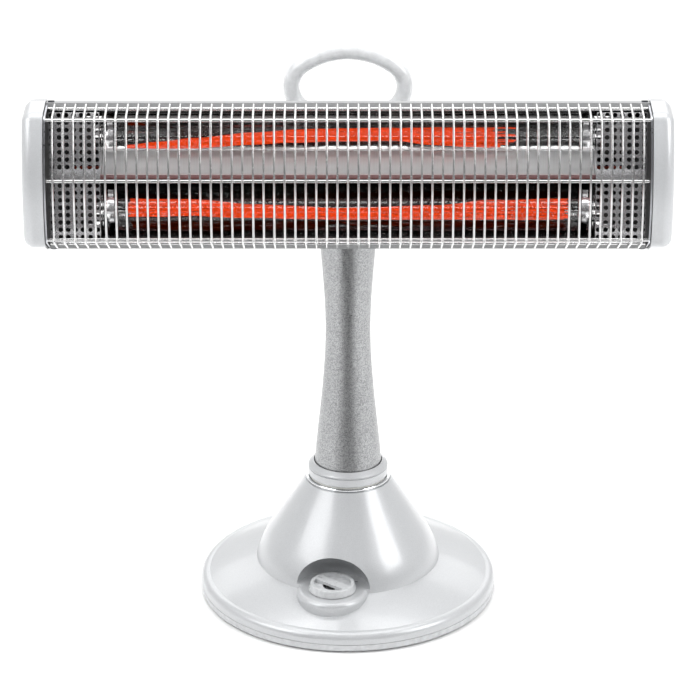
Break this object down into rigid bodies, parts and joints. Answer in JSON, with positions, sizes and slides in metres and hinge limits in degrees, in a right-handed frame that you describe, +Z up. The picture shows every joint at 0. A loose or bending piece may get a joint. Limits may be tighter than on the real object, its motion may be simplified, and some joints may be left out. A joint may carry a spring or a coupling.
{
  "type": "outdoor heater",
  "caption": "Tabletop carbon-tube radiant heater: wide caged tilting head on a waisted post that swings over a round weighted base with a turn knob and an oval carrying ring.",
  "frame": {"origin": "centre of the base's underside, on the surface that the feet rest on", "axes": "+Z up the post, +X along the wide head to the right as seen from the front, the head faces -Y"},
  "size_m": [0.554, 0.272, 0.5185],
  "materials": {
    "silver_plastic": "pearl silver, satin gloss",
    "knob_plastic": "satin silver",
    "white_plastic": "glossy pale silver",
    "pan_plastic": "satin",
    "silver_paint": "speckled silver hammer paint",
    "grey_paint": "satin grey paint",
    "ballast_iron": "plain",
    "rubber": "matt",
    "zinc_steel": "zinc plated",
    "dark_steel": "blackened",
    "bright_trim": "bright",
    "bearing_plastic": "natural acetal",
    "black_plastic": "fine texture",
    "terminal_plastic": "natural",
    "motor_metal": "plated",
    "cast_metal": "die cast",
    "mark_print": "printed",
    "wire_cover": "silicone",
    "grille_chrome": "bright plated",
    "vent_chrome": "bright",
    "mirror_aluminium": "polished",
    "shield_aluminium": "mill finish",
    "quartz": "clear",
    "glowing_carbon": "woven carbon, glowing",
    "end_ceramic": "steatite",
    "cutout_metal": "plated"
  },
  "bodies": {
    "base": {"base_shell": "silver_plastic", "base_pan": "pan_plastic", "ballast_plate": "ballast_iron", "rubber_feet": "rubber", "pan_screws": "zinc_steel", "trim_ring": "bright_trim", "bearing_bush": "bearing_plastic", "thrust_washer": "bearing_plastic", "rotary_switch": "black_plastic", "switch_nut": "zinc_steel", "dial_marks": "mark_print", "tip_over_switch": "black_plastic", "base_terminal_block": "terminal_plastic", "cord_gland": "black_plastic", "cord_clamp": "black_plastic", "swing_motor": "motor_metal", "motor_bracket": "zinc_steel", "base_wires": "wire_cover"},
    "dial": {"knob": "knob_plastic", "switch_shaft": "zinc_steel"},
    "pinion": {"drive_pinion": "bearing_plastic", "motor_shaft": "zinc_steel"},
    "post": {"post_tube": "silver_paint", "post_head": "silver_paint", "carry_handle": "white_plastic", "handle_screws": "zinc_steel", "swivel_collar": "silver_plastic", "swivel_hub": "cast_metal", "swing_gear": "bearing_plastic", "gear_screws": "zinc_steel", "friction_washers": "black_plastic", "post_wires": "wire_cover"},
    "head": {"head_back_shell": "grey_paint", "right_end_cap": "silver_plastic", "left_end_cap": "silver_plastic", "cap_gaskets": "rubber", "side_plates": "zinc_steel", "corner_screws": "dark_steel", "grille_wires": "grille_chrome", "grille_bars": "grille_chrome", "reflector": "mirror_aluminium", "heat_shield": "shield_aluminium", "right_vent_plate": "vent_chrome", "left_vent_plate": "vent_chrome", "upper_quartz_tube": "quartz", "lower_quartz_tube": "quartz", "upper_carbon_ribbon": "glowing_carbon", "lower_carbon_ribbon": "glowing_carbon", "tube_end_ceramics": "end_ceramic", "tube_brackets": "zinc_steel", "head_terminal_block": "terminal_plastic", "thermal_cutout": "cutout_metal", "head_wires": "wire_cover", "tilt_bracket": "grey_paint", "bracket_screws": "zinc_steel", "lead_grommet": "rubber", "hinge_bolt": "zinc_steel", "spring_washer": "zinc_steel", "hinge_nut": "zinc_steel"}
  },
  "joints": [
    {"name": "post_swing", "type": "hinge", "parent": "base", "child": "post", "pos_m": [0, 0, 0.1], "axis": [0, 0, 1], "range_deg": [-45, 25]},
    {"name": "head_tilt", "type": "hinge", "parent": "post", "child": "head", "pos_m": [0, -0.002, 0.414], "axis": [-1, 0, 0], "range_deg": [-16, 24]},
    {"name": "knob_turn", "type": "hinge", "parent": "base", "child": "dial", "pos_m": [-0.01407, -0.07977, 0.036], "axis": [0, 0, 1], "range_deg": [-108, 0]},
    {"name": "pinion_spin", "type": "hinge", "parent": "base", "child": "pinion", "pos_m": [0.00673, 0.03816, 0.066], "axis": [0, 0, 1], "range_deg": [-85.8, 154.4]}
  ],
  "couplings": [
    {"joint": "pinion_spin", "follows": "post_swing", "ratio": -3.4286}
  ]
}
